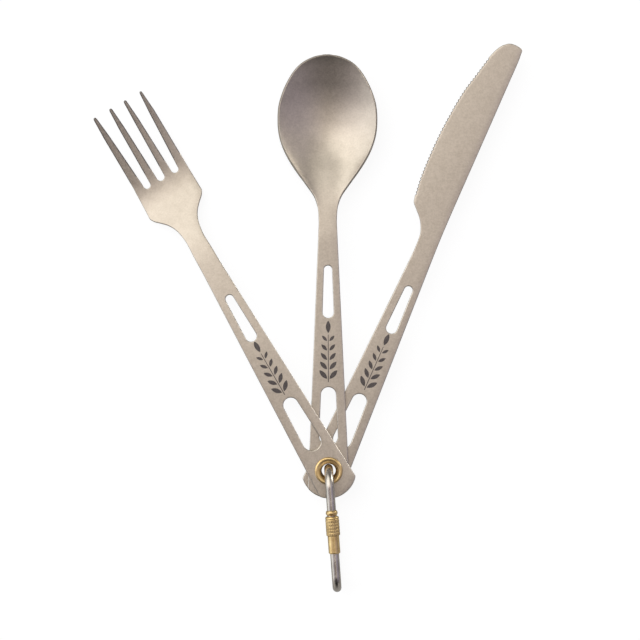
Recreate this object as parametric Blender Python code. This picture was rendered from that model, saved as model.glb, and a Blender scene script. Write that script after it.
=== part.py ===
"""Picnic cutlery: fork, spoon and knife on one brass eyelet, with a screw-lock ring.

Sizes are in millimetres. A sheet is drawn flat: v runs across its handle, t along it from the pivot.
"""
import math

import bmesh
import bpy
from mathutils import Matrix, Vector
from mathutils.geometry import delaunay_2d_cdt

for old in list(bpy.data.objects):
    bpy.data.objects.remove(old, do_unlink=True)

MM = 0.001

# each metal's colour and roughness
TITANIUM = ((0.50, 0.44, 0.36), 0.42)
BRASS = ((0.78, 0.55, 0.22), 0.25)
STEEL = ((0.55, 0.54, 0.53), 0.18)

# the pivot stands here so that the whole set is centred on the origin
PIVOT = (7.77, -57.17)

# the sheets' thickness, and how high the middle of each lies above the table
SHEET = 1.0
FORK_Z, FORK_ANGLE = 9.75, 30.0
SPOON_Z, SPOON_ANGLE = 8.50, 0.2
KNIFE_Z, KNIFE_ANGLE = 7.25, -23.9

# the handle that all three share: a taper with a round end about the hole
END_RADIUS = 10.25
TAPER = 0.0444
HALF_AT_PIVOT = 7.49
HOLE_RADIUS = 3.3
LOW_SLOT = (9.2, 30.9, 4.05)
FORK_HIGH_SLOT = (55.6, 75.1, 4.77)
SPOON_HIGH_SLOT = (56.6, 76.0, 4.77)
KNIFE_HIGH_SLOT = (56.0, 75.0, 4.77)
HEAD_START = 88.0

# eyelet
BORE = 2.64
BARREL_RADIUS = 3.1
FLANGE_RADIUS = 5.15

# ring: a long link of round wire, standing on edge through the eyelet
RING_LEAN = 4.1
RING_Z = 8.5
WIRE = 1.65
LEG = 6.85
APEX = 0.8
RING_END = 43.4
CORNER = 5.0
NOSE_TIP = 17.7
TAIL_TIP = 23.05

# brass on the ring's front leg, measured along the leg from the hole
COLLAR = (14.15, 15.95, 2.2)
NUT = (16.25, 23.35, 2.55)
SLEEVE = (23.5, 30.1, 2.15)
NUT_BORE = 1.8

# the nut's knurl: its first row of points, the rows' spacing, their number, and the points around
KNURL_START, KNURL_STEP, KNURL_ROWS = 0.65, 0.62, 10
KNURL_AROUND = 40
KNURL_HEIGHT = 0.08


def material(name, colour, metallic, roughness):
    mat = bpy.data.materials.new(name)
    mat.use_nodes = True
    shader = mat.node_tree.nodes["Principled BSDF"]
    shader.inputs["Base Color"].default_value = (*colour, 1.0)
    shader.inputs["Metallic"].default_value = metallic
    shader.inputs["Roughness"].default_value = roughness
    return mat


def add_object(name, data, place, colour, roughness):
    """One named node from mesh or curve data in metres; place is its matrix in millimetres."""
    obj = bpy.data.objects.new(name, data)
    bpy.context.scene.collection.objects.link(obj)
    matrix = place.copy()
    matrix.translation = place.translation * MM
    obj.matrix_world = matrix
    data.materials.append(material(name + "_finish", colour, 1.0, roughness))
    return obj


def spline(knots):
    """A smooth curve through knots (position, value), as a function of position."""
    xs = [k[0] for k in knots]
    ys = [k[1] for k in knots]
    slopes = []
    for i in range(len(xs)):
        a, b = max(i - 1, 0), min(i + 1, len(xs) - 1)
        slopes.append((ys[b] - ys[a]) / (xs[b] - xs[a]))

    def value(x):
        x = min(max(x, xs[0]), xs[-1])
        i = max(j for j in range(len(xs) - 1) if xs[j] <= x)
        h = xs[i + 1] - xs[i]
        s = (x - xs[i]) / h
        return (
            ys[i] * (1 + 2 * s) * (1 - s) ** 2
            + slopes[i] * h * s * (1 - s) ** 2
            + ys[i + 1] * s * s * (3 - 2 * s)
            + slopes[i + 1] * h * s * s * (s - 1)
        )

    return value


def handle_half(t):
    return HALF_AT_PIVOT - TAPER * t


def arc(cx, cy, radius, start, stop, count):
    """Points of an arc, angles in degrees from the v axis."""
    out = []
    for i in range(count + 1):
        a = math.radians(start + (stop - start) * i / count)
        out.append((cx + radius * math.cos(a), cy + radius * math.sin(a)))
    return out


def handle_end():
    """The round end, from the left side around to the right, with softened corners."""
    angle = 40.5
    points = arc(0, 0, END_RADIUS, 180 + angle + 5, 360 - angle - 5, 12)
    corner_v = END_RADIUS * math.cos(math.radians(angle))
    left = [(-handle_half(-5.6), -5.6), (-corner_v - 0.02, -6.35)]
    right = [(corner_v + 0.02, -6.35), (handle_half(-5.6), -5.6)]
    return left + points + right


def slot_loop(slot):
    """A long slot whose sides run with the handle's taper and whose ends are round."""
    low, high, wide = slot
    r_low = wide - TAPER * (low + wide)
    r_high = wide - TAPER * (high - wide * 0.5)
    lean = math.degrees(math.asin((r_low - r_high) / (high - r_high - low - r_low)))
    bottom = arc(0, low + r_low, r_low, 180 - lean, 360 + lean, 8)
    top = arc(0, high - r_high, r_high, lean, 180 - lean, 8)
    return bottom + top


def inside(point, loop):
    v, t = point
    hit = False
    for (v1, t1), (v2, t2) in zip(loop, loop[1:] + loop[:1]):
        if (t1 > t) != (t2 > t) and v < (v2 - v1) * (t - t1) / (t2 - t1) + v1:
            hit = not hit
    return hit


def sheet(name, outline, holes, extra, middle, z, angle, weight=None, stretch=1.0):
    """A pressed sheet: the outline is filled with triangles, given its height, and thickened.

    middle(v, t) is the sheet's height, weight(v, t) its share of the full thickness, and stretch
    lengthens it along t.
    """
    points, edges = [], []
    for loop in [outline] + holes:
        first = len(points)
        points += loop
        edges += [(first + i, first + (i + 1) % len(loop)) for i in range(len(loop))]
    points += extra
    flat, _, tris, _, _, _ = delaunay_2d_cdt([Vector(p) for p in points], edges, [], 0, 1e-5)
    bm = bmesh.new()
    verts = [bm.verts.new((v * MM, t * stretch * MM, middle(v, t) * MM)) for v, t in flat]
    for tri in tris:
        v = sum(flat[i][0] for i in tri) / 3
        t = sum(flat[i][1] for i in tri) / 3
        if inside((v, t), outline) and not any(inside((v, t), h) for h in holes):
            face = bm.faces.new([verts[i] for i in tri])
            face.smooth = True
    bmesh.ops.delete(bm, geom=[v for v in bm.verts if not v.link_faces], context="VERTS")
    mesh = bpy.data.meshes.new(name)
    bm.to_mesh(mesh)
    bm.free()
    place = Matrix.Translation((*PIVOT, z)) @ Matrix.Rotation(math.radians(angle), 4, "Z")
    obj = add_object(name, mesh, place, *TITANIUM)
    thick = obj.modifiers.new("thickness", "SOLIDIFY")
    thick.thickness = SHEET * MM
    thick.offset = 0.0
    thick.use_even_offset = True
    thick.use_quality_normals = True
    if weight:
        group = obj.vertex_groups.new(name="full_thickness")
        for vert in mesh.vertices:
            group.add([vert.index], weight(vert.co.x / MM, vert.co.y / MM), "REPLACE")
        thick.vertex_group = group.name
        thick.thickness_vertex_group = EDGE_SHARE
    return obj


def bump(x, start, stop):
    """A smooth step from 0 at start to 1 at stop."""
    s = min(max((x - start) / (stop - start), 0.0), 1.0)
    return s * s * (3 - 2 * s)


def handle_holes(high_slot):
    hole = arc(0, 0, HOLE_RADIUS, 0, 345, 23)
    return [hole, slot_loop(LOW_SLOT), slot_loop(high_slot)]


# spoon: half the bowl's width along it, its rim's height and its depth
SPOON_TIP = 154.4
spoon_half = spline(
    [
        (HEAD_START, 3.58), (93, 3.43), (98, 3.85), (102, 5.15), (106.5, 8.15),
        (111, 11.4), (115.5, 14.3), (120, 16.55), (125, 18.0), (130, 18.43), (135.6, 18.05),
        (140.5, 16.6), (145, 14.5), (149, 11.85), (151.5, 9.1), (153.3, 5.6), (154.1, 2.85),
    ]
)
SPOON_DEPTH = 6.4
SPOON_DROP = 1.59
SPOON_STRETCH = 1.005
# how much of the bowl's depth is reached along its middle
spoon_valley = spline(
    [
        (HEAD_START, 0.0), (93, 0.005), (99, 0.03), (105, 0.135), (111, 0.38), (117, 0.71), (122, 0.92),
        (127, 1.0), (132, 0.975), (137, 0.89), (142, 0.73), (146, 0.535), (150, 0.315), (152.6, 0.15),
        (SPOON_TIP, 0.0),
    ]
)


def spoon_side():
    stations = [HEAD_START + 3.0 * i for i in range(1, 20)]
    stations += [146.8, 148.8, 150.6, 152.1, 153.3, 154.1]
    return stations


def spoon_middle(v, t):
    across = min(abs(v) / spoon_half(t), 1.0)
    rim = -SPOON_DROP * bump(t, 84, 110) + 0.9 * bump(t, 128, 156)
    # the throat is flatter across than the bowl
    power = 1.9 + 1.85 * (1 - bump(t, 106, 122))
    return rim - SPOON_DEPTH * spoon_valley(t) * (1 - across ** power)


def make_spoon():
    stations = spoon_side()
    right = [(spoon_half(t), t) for t in stations]
    left = [(-v, t) for v, t in reversed(right)]
    outline = handle_end() + [(handle_half(t), t) for t in (32, 60)] + [(3.58, HEAD_START)]
    outline += right + [(1.4, SPOON_TIP - 0.04), (0.0, SPOON_TIP), (-1.4, SPOON_TIP - 0.04)] + left
    outline += [(-3.58, HEAD_START)] + [(-handle_half(t), t) for t in (60, 32)]
    extra = []
    for i, t in enumerate(stations[:-1]):
        half = spoon_half(t)
        count = 2 if half < 6 else 4 if half < 12 else 6
        for j in range(1 - count, count):
            extra.append((half * 0.94 * j / count, t))
    holes = handle_holes(SPOON_HIGH_SLOT)
    return sheet("spoon", outline, holes, extra, spoon_middle, SPOON_Z, SPOON_ANGLE, stretch=SPOON_STRETCH)


# fork: half its width up to the shoulders, its bend along it, and its tines
SHOULDER = 114.2
TINE_ROOT = 125.2
FORK_TIP = 157.2
fork_half = spline(
    [
        (HEAD_START, 3.95), (94, 3.85), (99.5, 3.65), (102.8, 4.0), (105.8, 4.7),
        (108.8, 6.3), (111, 8.3), (112.8, 10.2), (SHOULDER, 11.1),
    ]
)
FORK_STRETCH = 1.003
fork_bend = spline(
    [
        (40, 0.0), (46, -0.03), (53, -0.14), (62, -0.45), (72, -0.90), (80, -1.36), (90, -2.15),
        (96, -2.95), (100, -3.75), (104, -4.80), (112, -7.0), (116, -8.03), (119, -8.68), (123, -9.05),
        (127, -8.86), (130, -8.45), (138, -6.95), (146, -5.15), (154, -3.0), (158, -1.85),
    ]
)
# each tine's centre and half width at its root, midway and near its tip
TINES = [
    ((-9.05, 1.85), (-9.78, 1.14), (-10.0, 0.62)),
    ((-2.95, 1.62), (-3.17, 1.08), (-3.22, 0.62)),
    ((3.20, 1.62), (3.10, 1.02), (2.98, 0.62)),
    ((9.30, 1.75), (9.74, 1.10), (9.75, 0.55)),
]


def fork_middle(v, t):
    crowned = 0.3 * bump(t, 106, 120) * (1 - bump(t, 134, 156))
    return fork_bend(t) + crowned * (0.6 - (min(abs(v), 12.0) / 11.0) ** 2)


def tine_edge(tine, t, side):
    """A tine's left (side -1) or right (side 1) edge at t."""
    (c0, h0), (c1, h1), (c2, h2) = tine
    if t < 149:
        s = (t - 126.7) / (149 - 126.7)
        return c0 + (c1 - c0) * s + side * (h0 + (h1 - h0) * s)
    s = (t - 149) / (156.8 - 149)
    return c1 + (c2 - c1) * s + side * (h1 + (h2 - h1) * s)


def make_fork():
    rows = [128.5, 132, 136, 140, 144, 148, 152, 155, 156.7]
    flare = (92, 96, 99.5, 102, 104.5, 107, 109, 110.5, 112, 113.2, SHOULDER)
    right_side = [(fork_half(t), t) for t in flare]
    right_side += [(11.28, 115.0), (11.25, 118), (11.1, 122), (11.02, 126.2)]
    left_side = [(-v, t) for v, t in reversed(right_side)]
    outline = handle_end() + [(handle_half(t), t) for t in (32, 46, 60, 74)] + [(3.95, HEAD_START)]
    outline += right_side
    # from the right tine to the left one: up each right edge, around the tip, down the left edge
    for i, tine in enumerate(reversed(TINES)):
        outline += [(tine_edge(tine, t, 1), t) for t in rows]
        tip_v, tip_half = tine[2]
        outline += [
            (tip_v + tip_half * 0.55, FORK_TIP - 0.15),
            (tip_v, FORK_TIP),
            (tip_v - tip_half * 0.55, FORK_TIP - 0.15),
        ]
        outline += [(tine_edge(tine, t, -1), t) for t in reversed(rows)]
        if i < 3:
            near = tine_edge(tine, 128.5, -1)
            far = tine_edge(TINES[2 - i], 128.5, 1)
            mid, r = (near + far) / 2, (near - far) / 2
            outline += arc(mid, TINE_ROOT + r, r * 0.98, 0, -180, 6)
    outline += left_side
    outline += [(-3.95, HEAD_START)] + [(-handle_half(t), t) for t in (74, 60, 46, 32)]
    extra = []
    for t in (HEAD_START, 92, 96, 99.5, 102, 104.5, 107, 109, 111, 113.2, 116, 119, 122, 124.7):
        half = fork_half(t) if t < SHOULDER else 11.1
        count = 1 if half < 6 else 3 if half < 9 else 4
        for j in range(1 - count, count):
            extra.append((half * j / count, t))
    for tine in TINES:
        for t in rows[:-1]:
            extra.append(((tine_edge(tine, t, 1) + tine_edge(tine, t, -1)) / 2, t))
    holes = handle_holes(FORK_HIGH_SLOT)
    return sheet("fork", outline, holes, extra, fork_middle, FORK_Z, FORK_ANGLE, stretch=FORK_STRETCH)


# knife: the cutting edge lies on the left, the spine on the right
HEEL = 104.6
KNIFE_TIP = 173.5
knife_edge = spline(
    [
        (HEAD_START, 4.15), (94, 4.45), (96.8, 5.35), (99.8, 7.15), (102.8, 10.05), (HEEL, 11.6),
        (108.8, 12.4), (115, 13.05), (126.7, 13.26), (135.6, 12.9), (149, 11.5), (158, 9.45),
        (165.4, 7.7), (169, 6.4), (171.3, 5.0), (172.8, 3.3),
    ]
)
knife_spine = spline(
    [(HEAD_START, 3.58), (96, 3.3), (106, 3.18), (130, 3.13), (160, 3.05), (171.6, 3.0), (172.8, 2.5)]
)
TOOTH = 1.35
TOOTH_DEPTH = 0.32
TEETH_FROM, TEETH_TO = 107.0, 165.0
BEVEL = 1.2
EDGE_SHARE = 0.3


def knife_middle(v, t):
    return 0.0


def knife_weight(v, t):
    """1 on the flat of the blade, falling to 0 at the cutting edge."""
    if t < HEEL - 2.5:
        return 1.0
    return min(max((knife_edge(t) + v) / BEVEL, 0.0), 1.0)


def make_knife():
    outline = handle_end() + [(handle_half(t), t) for t in (32, 60)]
    spine = (HEAD_START, 93, 99, 106, 118, 130, 145, 160, 168, 171.6, 172.4)
    outline += [(knife_spine(t), t) for t in spine]
    outline += [(1.9, 173.2), (0.6, KNIFE_TIP), (-1.2, 173.45), (-2.5, 173.1)]
    back = [172.6, 171.6, 170.3, 168.7, 167, TEETH_TO]
    outline += [(-knife_edge(t), t) for t in back]
    teeth = round((TEETH_TO - TEETH_FROM) / TOOTH)
    for i in range(teeth):
        t = TEETH_TO - TOOTH * (i + 0.5)
        outline.append((-knife_edge(t) + TOOTH_DEPTH, t))
        t -= TOOTH * 0.5
        outline.append((-knife_edge(t), t))
    front = [HEEL, 103.7, 102.2, 100.7, 99.2, 97.7, 96.2, 94.7, 92.5, 90]
    outline += [(-knife_edge(t), t) for t in front]
    outline += [(-4.15, HEAD_START)] + [(-handle_half(t), t) for t in (60, 32)]
    extra = []
    for t in [HEEL + 0.1] + list(range(106, 163, 4)) + [165.5, 168, 170]:
        extra.append((-knife_edge(t) + BEVEL, t))
    for t in (108, 120, 132, 144, 156, 166):
        extra.append((-2.5, t))
    holes = handle_holes(KNIFE_HIGH_SLOT)
    return sheet("knife", outline, holes, extra, knife_middle, KNIFE_Z, KNIFE_ANGLE, weight=knife_weight)


def lathe(name, profile, count, place, finish, knurl=None):
    """A closed profile of (radius, height) turned about local z.

    knurl(angle, r, h) gives a point its new radius.
    """
    bm = bmesh.new()
    ring = [bm.verts.new((r * MM, 0, h * MM)) for r, h in profile]
    edges = [bm.edges.new((ring[i - 1], ring[i])) for i in range(len(ring))]
    turn = 2 * math.pi
    bmesh.ops.spin(
        bm, geom=ring + edges, cent=(0, 0, 0), axis=(0, 0, 1), angle=turn, steps=count, use_merge=True
    )
    bmesh.ops.remove_doubles(bm, verts=bm.verts, dist=1e-7)
    bmesh.ops.recalc_face_normals(bm, faces=bm.faces)
    for vert in bm.verts:
        if knurl:
            r = vert.co.xy.length / MM
            angle = math.atan2(vert.co.y, vert.co.x)
            vert.co.xy *= knurl(angle, r, vert.co.z / MM) / r
    for face in bm.faces:
        face.smooth = True
    mesh = bpy.data.meshes.new(name)
    bm.to_mesh(mesh)
    bm.free()
    mesh.set_sharp_from_angle(angle=math.radians(35))
    return add_object(name, mesh, place, *finish)


def make_eyelet():
    top = FORK_Z + SHEET / 2
    low = KNIFE_Z - SHEET / 2
    crest = top + 0.78
    profile = [
        (BORE, low - 0.75), (BARREL_RADIUS, low - 0.75), (BARREL_RADIUS, top + 0.12),
        (FLANGE_RADIUS - 0.1, top + 0.12), (FLANGE_RADIUS, top + 0.28), (4.75, top + 0.55),
        (4.35, top + 0.73), (3.9, crest), (3.4, top + 0.7), (3.0, top + 0.45), (2.74, top + 0.1),
        (BORE, top - 0.35),
    ]
    place = Matrix.Translation((*PIVOT, 0))
    lathe("eyelet_barrel", profile, 32, place, BRASS)
    washer = [
        (BARREL_RADIUS + 0.1, low - 0.7), (3.7, low - 0.78), (4.5, low - 0.68),
        (FLANGE_RADIUS, low - 0.4), (FLANGE_RADIUS, low - 0.12), (BARREL_RADIUS + 0.1, low - 0.12),
    ]
    lathe("eyelet_washer", washer, 32, place, BRASS)


def ring_path():
    """The wire's centre line in the ring's own plane, from the nose around the eyelet to the tail."""
    path = [(-NOSE_TIP, LEG), (-12.0, LEG)]
    centre = APEX - LEG
    path += [(y, z) for z, y in arc(0, centre, LEG, 0, 180, 16)]
    path.append((-22.0, -LEG))
    low = -(RING_END - CORNER)
    side = LEG - CORNER
    path += [(y, z) for z, y in arc(-side, low, CORNER, 180, 270, 6)]
    path += [(y, z) for z, y in arc(side, low, CORNER, 270, 360, 6)]
    path.append((-TAIL_TIP, LEG))
    return path


def make_ring(place):
    curve = bpy.data.curves.new("ring_wire", "CURVE")
    curve.dimensions = "3D"
    curve.bevel_depth = WIRE * MM
    curve.bevel_resolution = 6
    curve.use_fill_caps = True
    curve.twist_mode = "Z_UP"
    path = ring_path()
    wire = curve.splines.new("POLY")
    wire.points.add(len(path) - 1)
    for point, (y, z) in zip(wire.points, path):
        point.co = (0, y * MM, z * MM, 1)
    wire.use_smooth = True
    return add_object("ring_wire", curve, place, *STEEL)


def make_ring_set():
    place = Matrix.Translation((*PIVOT, RING_Z)) @ Matrix.Rotation(math.radians(RING_LEAN), 4, "Z")
    make_ring(place)

    def on_leg(start):
        return place @ Matrix.Translation((0, -start, LEG)) @ Matrix.Rotation(math.radians(90), 4, "X")

    low, high, radius = COLLAR
    length = high - low
    profile = [(WIRE + 0.1, 0), (radius - 0.25, 0)]
    profile += [(radius - 0.25 + 0.25 * math.sin(math.pi * s), length * s) for s in (0.25, 0.5, 0.75)]
    profile += [(radius - 0.25, length), (WIRE + 0.1, length)]
    lathe("nose_collar", profile, 24, on_leg(low), BRASS)

    low, high, radius = NUT
    length = high - low
    rows = [KNURL_START + KNURL_STEP * i for i in range(KNURL_ROWS)]
    profile = [(NUT_BORE, 0), (radius - 0.55, 0), (radius - 0.1, 0.5)]
    profile += [(radius, h) for h in rows]
    profile += [(radius - 0.15, length), (NUT_BORE, length)]

    def knurl(angle, r, h):
        if r < radius - 0.01 or h < 0.6 or h > 6.4:
            return r
        step = round((h - KNURL_START) / KNURL_STEP)
        turn = round(angle / (2 * math.pi / KNURL_AROUND))
        return r + (KNURL_HEIGHT if (step + turn) % 2 else -KNURL_HEIGHT)

    lathe("lock_nut", profile, KNURL_AROUND, on_leg(low), BRASS, knurl)

    low, high, radius = SLEEVE
    length = high - low
    profile = [(NUT_BORE, 0), (radius, 0), (radius, length - 0.3)]
    profile += [(radius - 0.3, length), (NUT_BORE, length)]
    lathe("nut_sleeve", profile, 28, on_leg(low), BRASS)


make_fork()
make_spoon()
make_knife()
make_eyelet()
make_ring_set()
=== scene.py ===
"""Picnic cutlery on a screw-lock ring: the fine surfaces, the materials, the light and the camera."""
import math

import bmesh
import bpy
import numpy as np
from mathutils import Matrix, Vector
from mathutils.geometry import delaunay_2d_cdt


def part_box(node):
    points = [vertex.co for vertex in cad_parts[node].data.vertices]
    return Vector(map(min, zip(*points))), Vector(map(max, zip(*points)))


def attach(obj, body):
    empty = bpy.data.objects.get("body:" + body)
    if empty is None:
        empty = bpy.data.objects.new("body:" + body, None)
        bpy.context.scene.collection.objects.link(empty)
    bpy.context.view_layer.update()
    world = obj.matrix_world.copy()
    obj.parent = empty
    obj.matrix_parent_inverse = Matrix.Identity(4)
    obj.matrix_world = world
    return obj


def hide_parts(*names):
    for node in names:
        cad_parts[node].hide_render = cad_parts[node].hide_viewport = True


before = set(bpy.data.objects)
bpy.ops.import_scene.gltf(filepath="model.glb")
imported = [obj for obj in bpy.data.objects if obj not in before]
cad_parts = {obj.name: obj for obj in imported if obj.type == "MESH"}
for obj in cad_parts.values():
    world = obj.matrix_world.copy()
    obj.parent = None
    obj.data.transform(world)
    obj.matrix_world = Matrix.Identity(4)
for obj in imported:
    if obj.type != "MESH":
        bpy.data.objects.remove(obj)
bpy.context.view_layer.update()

MM = 0.001

# the eyelet's axis, in millimetres, is where the three handles meet
low_corner, high_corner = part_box("eyelet_barrel")
PIVOT = ((low_corner[0] + high_corner[0]) / 2 / MM, (low_corner[1] + high_corner[1]) / 2 / MM)


# ---------------------------------------------------------------- materials

def value_node(nodes, kind, **settings):
    """A new node with its sockets set."""
    node = nodes.new(kind)
    for key, value in settings.items():
        node.inputs[key].default_value = value
    return node


def new_material(name, metallic, roughness):
    mat = bpy.data.materials.new(name)
    mat.use_nodes = True
    nodes, links = mat.node_tree.nodes, mat.node_tree.links
    shader = nodes["Principled BSDF"]
    shader.inputs["Metallic"].default_value = metallic
    shader.inputs["Roughness"].default_value = roughness
    coords = nodes.new("ShaderNodeTexCoord")
    return mat, nodes, links, shader, coords


def noise(nodes, links, vector, scale, detail=2.0, roughness=0.5):
    node = value_node(nodes, "ShaderNodeTexNoise", Scale=scale, Detail=detail, Roughness=roughness)
    links.new(vector, node.inputs["Vector"])
    return node.outputs["Fac"]


def map_range(nodes, links, source, low, high, to_low, to_high):
    node = nodes.new("ShaderNodeMapRange")
    for key, value in zip(("From Min", "From Max", "To Min", "To Max"), (low, high, to_low, to_high)):
        node.inputs[key].default_value = value
    links.new(source, node.inputs["Value"])
    return node.outputs["Result"]


def added(nodes, links, a, b):
    node = nodes.new("ShaderNodeMath")
    node.operation = "ADD"
    links.new(a, node.inputs[0])
    links.new(b, node.inputs[1])
    return node.outputs["Value"]


def mix_colour(nodes, links, factor, a, b):
    node = nodes.new("ShaderNodeMix")
    node.data_type = "RGBA"
    links.new(factor, node.inputs["Factor"])
    for name, colour in (("A", a), ("B", b)):
        socket = [s for s in node.inputs if s.name == name and s.type == "RGBA"][0]
        socket.default_value = (*colour, 1.0)
    return [s for s in node.outputs if s.type == "RGBA"][0]


def bump(nodes, links, shader, height, strength, distance):
    node = value_node(nodes, "ShaderNodeBump", Strength=strength, Distance=distance)
    links.new(height, node.inputs["Height"])
    links.new(node.outputs["Normal"], shader.inputs["Normal"])


def blasted_titanium(name, dark, light, rough_low, rough_high):
    """Bead-blasted sheet: a fine even grain over faint mottling and larger clouding."""
    mat, nodes, links, shader, coords = new_material(name, 1.0, 0.45)
    place = coords.outputs["Object"]
    grain = noise(nodes, links, place, 1500.0, 3.0, 0.65)
    mottle = noise(nodes, links, place, 420.0, 3.0, 0.6)
    cloud = noise(nodes, links, place, 60.0, 3.0, 0.55)
    grain_share = map_range(nodes, links, grain, 0.34, 0.66, -0.12, 0.72)
    mottle_share = map_range(nodes, links, mottle, 0.3, 0.7, -0.15, 0.35)
    cloud_share = map_range(nodes, links, cloud, 0.3, 0.7, 0.03, 0.19)
    broad = added(nodes, links, mottle_share, cloud_share)
    both = added(nodes, links, grain_share, broad)
    links.new(mix_colour(nodes, links, both, dark, light), shader.inputs["Base Color"])
    links.new(map_range(nodes, links, grain, 0.3, 0.7, rough_low, rough_high), shader.inputs["Roughness"])
    fine = noise(nodes, links, place, 3200.0, 2.0, 0.6)
    bump(nodes, links, shader, fine, 0.35, 0.00003)
    return mat


def turned_brass(name, dark, light, roughness, ring_scale):
    """Turned brass: fine tool lines around the axis, and tarnish in blotches."""
    mat, nodes, links, shader, coords = new_material(name, 1.0, roughness)
    place = coords.outputs["Object"]
    tarnish = noise(nodes, links, place, 420.0, 4.0, 0.6)
    share = map_range(nodes, links, tarnish, 0.35, 0.7, 1.0, 0.0)
    links.new(mix_colour(nodes, links, share, dark, light), shader.inputs["Base Color"])
    dulled = map_range(nodes, links, tarnish, 0.3, 0.7, roughness, roughness + 0.14)
    links.new(dulled, shader.inputs["Roughness"])
    stretch = nodes.new("ShaderNodeMapping")
    stretch.inputs["Scale"].default_value = (0.05, 0.05, 1.0)
    links.new(place, stretch.inputs["Vector"])
    lines = noise(nodes, links, stretch.outputs["Vector"], ring_scale, 2.0, 0.5)
    bump(nodes, links, shader, lines, 0.12, 0.00002)
    return mat


def polished_wire(name, dark, light):
    """Drawn and polished stainless wire: fine scratches and a few duller patches."""
    mat, nodes, links, shader, coords = new_material(name, 1.0, 0.16)
    place = coords.outputs["Object"]
    patches = noise(nodes, links, place, 300.0, 3.0, 0.6)
    share = map_range(nodes, links, patches, 0.35, 0.65, 0.0, 1.0)
    links.new(mix_colour(nodes, links, share, dark, light), shader.inputs["Base Color"])
    links.new(map_range(nodes, links, patches, 0.3, 0.7, 0.19, 0.33), shader.inputs["Roughness"])
    stretch = nodes.new("ShaderNodeMapping")
    stretch.inputs["Scale"].default_value = (1.0, 0.04, 0.04)
    links.new(place, stretch.inputs["Vector"])
    scratches = noise(nodes, links, stretch.outputs["Vector"], 9000.0, 2.0, 0.5)
    bump(nodes, links, shader, scratches, 0.08, 0.00001)
    return mat


# each metal's darkest and lightest colour and its range of roughness
TITANIUM = blasted_titanium("titanium_blasted", (0.50, 0.435, 0.36), (0.62, 0.545, 0.46), 0.40, 0.50)
EDGE = blasted_titanium("titanium_cut_edge", (0.50, 0.45, 0.385), (0.64, 0.58, 0.50), 0.26, 0.36)
# near-black titanium: painted shade for the gullets of the knife's teeth
GULLET_SHADE = blasted_titanium("titanium_gullet_painted_shade", (0.07, 0.064, 0.06), (0.13, 0.12, 0.11), 0.45, 0.55)
# dark titanium: painted shade on the rounding of the fork's tine edges
TINE_EDGE_SHADE = blasted_titanium("titanium_tine_edge_painted_shade", (0.19, 0.17, 0.155), (0.27, 0.245, 0.225), 0.45, 0.55)
ETCHED = blasted_titanium("titanium_etched", (0.10, 0.088, 0.085), (0.16, 0.14, 0.135), 0.5, 0.6)
BRASS = turned_brass("brass_turned", (0.60, 0.405, 0.175), (0.80, 0.59, 0.285), 0.27, 9000.0)
# a darker copy of the brass: painted shade for the knurled band's grooves
SHADED_KNURL_BRASS = turned_brass("brass_knurled_painted_shade", (0.48, 0.33, 0.15), (0.67, 0.485, 0.235), 0.36, 4000.0)
STEEL = polished_wire("steel_wire", (0.45, 0.405, 0.355), (0.60, 0.545, 0.48))


# ---------------------------------------------------------------- plan shapes

# a sheet is drawn flat, in millimetres: v runs across its handle and t along it from the pivot
SHEET = 1.0
EDGE_ROUND = 0.35
END_RADIUS = 10.25
TAPER = 0.0444
HALF_AT_PIVOT = 7.49
HOLE_RADIUS = 3.3
# a slot's low end, high end and half width where it would reach the pivot
LOW_SLOT = (9.2, 30.9, 4.05)
FORK_HIGH_SLOT = (55.6, 75.1, 4.77)
SPOON_HIGH_SLOT = (56.6, 76.0, 4.77)
KNIFE_HIGH_SLOT = (56.0, 75.0, 4.77)
# where the etched sprigs start, and where the handles end
SPRIG_FROM, FORK_SPRIG_FROM = 32.8, 32.6
HEAD_START = 88.0


def curve_through(knots):
    """A smooth curve through knots (position, value), as a function of position."""
    xs = [k[0] for k in knots]
    ys = [k[1] for k in knots]
    slopes = []
    for i in range(len(xs)):
        a, b = max(i - 1, 0), min(i + 1, len(xs) - 1)
        slopes.append((ys[b] - ys[a]) / (xs[b] - xs[a]))

    def value(x):
        x = min(max(x, xs[0]), xs[-1])
        i = max(j for j in range(len(xs) - 1) if xs[j] <= x)
        h = xs[i + 1] - xs[i]
        s = (x - xs[i]) / h
        return (
            ys[i] * (1 + 2 * s) * (1 - s) ** 2
            + slopes[i] * h * s * (1 - s) ** 2
            + ys[i + 1] * s * s * (3 - 2 * s)
            + slopes[i + 1] * h * s * s * (s - 1)
        )

    return value


def steps(start, stop, size):
    """Evenly spaced places from start to stop, both included."""
    count = max(1, round(abs(stop - start) / size))
    return [start + (stop - start) * i / count for i in range(count + 1)]


def step_up(x, start, stop):
    """A smooth step from 0 at start to 1 at stop."""
    s = min(max((x - start) / (stop - start), 0.0), 1.0)
    return s * s * (3 - 2 * s)


def arc(cx, cy, radius, start, stop, count):
    """Points of an arc, angles in degrees from the v axis."""
    out = []
    for i in range(count + 1):
        a = math.radians(start + (stop - start) * i / count)
        out.append((cx + radius * math.cos(a), cy + radius * math.sin(a)))
    return out


def handle_half(t):
    """Half the handle's width."""
    return HALF_AT_PIVOT - TAPER * t


def rounded(points, radius, count=6):
    """An open line of points with each inner corner replaced by a small curve."""
    out = [points[0]]
    for before, corner, after in zip(points, points[1:], points[2:]):
        a, b, c = Vector(before), Vector(corner), Vector(after)
        back = (a - b).normalized() * min(radius, (a - b).length * 0.45)
        on = (c - b).normalized() * min(radius, (c - b).length * 0.45)
        for i in range(count + 1):
            s = i / count
            p = (b + back) * (1 - s) ** 2 + b * 2 * s * (1 - s) + (b + on) * s * s
            out.append(tuple(p))
    out.append(points[-1])
    return out


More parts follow.
